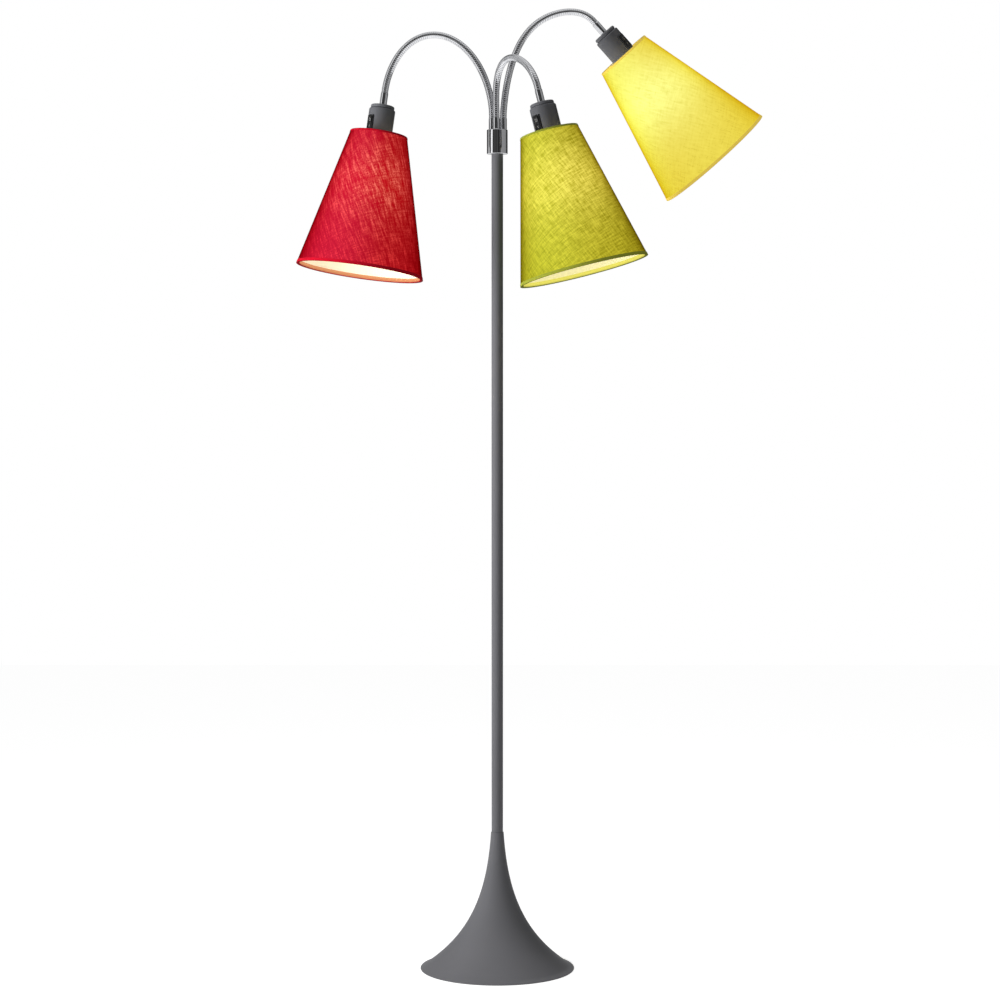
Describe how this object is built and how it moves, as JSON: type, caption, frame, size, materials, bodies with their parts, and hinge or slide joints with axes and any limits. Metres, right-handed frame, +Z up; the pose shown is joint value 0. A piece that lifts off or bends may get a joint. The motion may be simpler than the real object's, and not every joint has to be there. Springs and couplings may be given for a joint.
{
  "type": "tree floor lamp",
  "caption": "Tree floor lamp: a slim grey pole on a trumpet base, with gooseneck arms that end in rocker-switched lampholders and cloth cone shades in red, green and yellow.",
  "frame": {"origin": "middle of the underside of the base pad, on the pole's axis", "axes": "+Z up along the pole; the lamp's front looks along -Y; the red shade is at -X"},
  "size_m": [0.7318, 0.3796, 1.5071],
  "materials": {
    "grey_paint": "satin grey paint",
    "chrome": "polished",
    "cast_iron": "rough casting",
    "steel": "plain",
    "dark_rubber": "matte",
    "holder_grey": "satin grey",
    "black_plastic": "gloss black",
    "ceramic": "off-white heat-proof insulator",
    "opal_glass": "opal",
    "ring_wire": "white coated wire",
    "lead_sheath": "off-white sheath",
    "red_cloth": "red linen weave over a cream lining",
    "green_cloth": "lime green linen weave over a cream lining",
    "yellow_cloth": "yellow linen weave over a cream lining"
  },
  "bodies": {
    "stand": {"base_shell": "grey_paint", "base_pad": "dark_rubber", "base_weight": "cast_iron", "tie_rod": "steel", "tie_nut": "steel", "cable_grommet": "dark_rubber", "pole": "grey_paint", "pole_insert": "steel", "pole_lead": "lead_sheath", "collar": "chrome", "collar_screw": "steel", "terminal_block": "ceramic"},
    "red_foot": {"red_foot_ferrule": "chrome", "red_gooseneck_lower": "chrome", "red_lead_lower": "lead_sheath"},
    "red_mid": {"red_gooseneck_upper": "chrome", "red_lead_upper": "lead_sheath"},
    "red_head": {"red_head_ferrule": "chrome", "red_holder_cap": "holder_grey", "red_holder_cover": "holder_grey", "red_socket": "ceramic", "red_shade_nut": "holder_grey", "red_switch_housing": "black_plastic", "red_shade": "red_cloth", "red_shade_fitter": "ring_wire", "red_shade_bottom_ring": "ring_wire", "red_bulb": "opal_glass"},
    "red_rocker": {"red_switch_rocker": "black_plastic"},
    "green_foot": {"green_foot_ferrule": "chrome", "green_gooseneck_lower": "chrome", "green_lead_lower": "lead_sheath"},
    "green_mid": {"green_gooseneck_upper": "chrome", "green_lead_upper": "lead_sheath"},
    "green_head": {"green_head_ferrule": "chrome", "green_holder_cap": "holder_grey", "green_holder_cover": "holder_grey", "green_socket": "ceramic", "green_shade_nut": "holder_grey", "green_switch_housing": "black_plastic", "green_shade": "green_cloth", "green_shade_fitter": "ring_wire", "green_shade_bottom_ring": "ring_wire", "green_bulb": "opal_glass"},
    "green_rocker": {"green_switch_rocker": "black_plastic"},
    "yellow_foot": {"yellow_foot_ferrule": "chrome", "yellow_gooseneck_lower": "chrome", "yellow_lead_lower": "lead_sheath"},
    "yellow_mid": {"yellow_gooseneck_upper": "chrome", "yellow_lead_upper": "lead_sheath"},
    "yellow_head": {"yellow_head_ferrule": "chrome", "yellow_holder_cap": "holder_grey", "yellow_holder_cover": "holder_grey", "yellow_socket": "ceramic", "yellow_shade_nut": "holder_grey", "yellow_switch_housing": "black_plastic", "yellow_shade": "yellow_cloth", "yellow_shade_fitter": "ring_wire", "yellow_shade_bottom_ring": "ring_wire", "yellow_bulb": "opal_glass"},
    "yellow_rocker": {"yellow_switch_rocker": "black_plastic"}
  },
  "joints": [
    {"name": "red_swing", "type": "hinge", "parent": "stand", "child": "red_foot", "pos_m": [-0.00766, 0.00643, 1.3325], "axis": [0, 0, 1], "range_deg": [-35, 20]},
    {"name": "red_lower_bend", "type": "hinge", "parent": "red_foot", "child": "red_mid", "pos_m": [-0.02511, 0.00857, 1.4069], "axis": [0.1219, 0.9925, 0], "range_deg": [-8, 30], "deforming": ["red_gooseneck_lower", "red_lead_lower"]},
    {"name": "red_upper_bend", "type": "hinge", "parent": "red_mid", "child": "red_head", "pos_m": [-0.14588, 0.0249, 1.44199], "axis": [0.1219, 0.9925, 0], "range_deg": [-8, 30], "deforming": ["red_gooseneck_upper", "red_lead_upper"]},
    {"name": "red_switch", "type": "hinge", "parent": "red_head", "child": "red_rocker", "pos_m": [-0.19794, 0.01116, 1.32693], "axis": [0.644, -0.764, -0.038], "range_deg": [-10, 0]},
    {"name": "green_swing", "type": "hinge", "parent": "stand", "child": "green_foot", "pos_m": [-0.00174, -0.00985, 1.3325], "axis": [0, 0, 1], "range_deg": [-18, 5]},
    {"name": "green_lower_bend", "type": "hinge", "parent": "green_foot", "child": "green_mid", "pos_m": [-0.00047, -0.01158, 1.3864], "axis": [-0.8076, -0.5897, 0], "range_deg": [-4, 28], "deforming": ["green_gooseneck_lower", "green_lead_lower"]},
    {"name": "green_upper_bend", "type": "hinge", "parent": "green_mid", "child": "green_head", "pos_m": [0.04513, -0.07764, 1.40399], "axis": [-0.8076, -0.5897, 0], "range_deg": [-3, 25], "deforming": ["green_gooseneck_upper", "green_lead_upper"]},
    {"name": "green_switch", "type": "hinge", "parent": "green_head", "child": "green_rocker", "pos_m": [0.0612, -0.11329, 1.3119], "axis": [0.6786, -0.7065, 0.2009], "range_deg": [-10, 0]},
    {"name": "yellow_swing", "type": "hinge", "parent": "stand", "child": "yellow_foot", "pos_m": [0.0094, 0.00342, 1.3325], "axis": [0, 0, 1], "range_deg": [-6, 35]},
    {"name": "yellow_lower_bend", "type": "hinge", "parent": "yellow_foot", "child": "yellow_mid", "pos_m": [0.0198, 0.00633, 1.40592], "axis": [0.269, -0.9631, 0], "range_deg": [-8, 20], "deforming": ["yellow_gooseneck_lower", "yellow_lead_lower"]},
    {"name": "yellow_upper_bend", "type": "hinge", "parent": "yellow_mid", "child": "yellow_head", "pos_m": [0.101, 0.02968, 1.50027], "axis": [0.269, -0.9631, 0], "range_deg": [-8, 20], "deforming": ["yellow_gooseneck_upper", "yellow_lead_upper"]},
    {"name": "yellow_switch", "type": "hinge", "parent": "yellow_head", "child": "yellow_rocker", "pos_m": [0.19966, 0.03568, 1.45666], "axis": [0.4459, 0.7398, 0.5039], "range_deg": [-10, 0]}
  ]
}
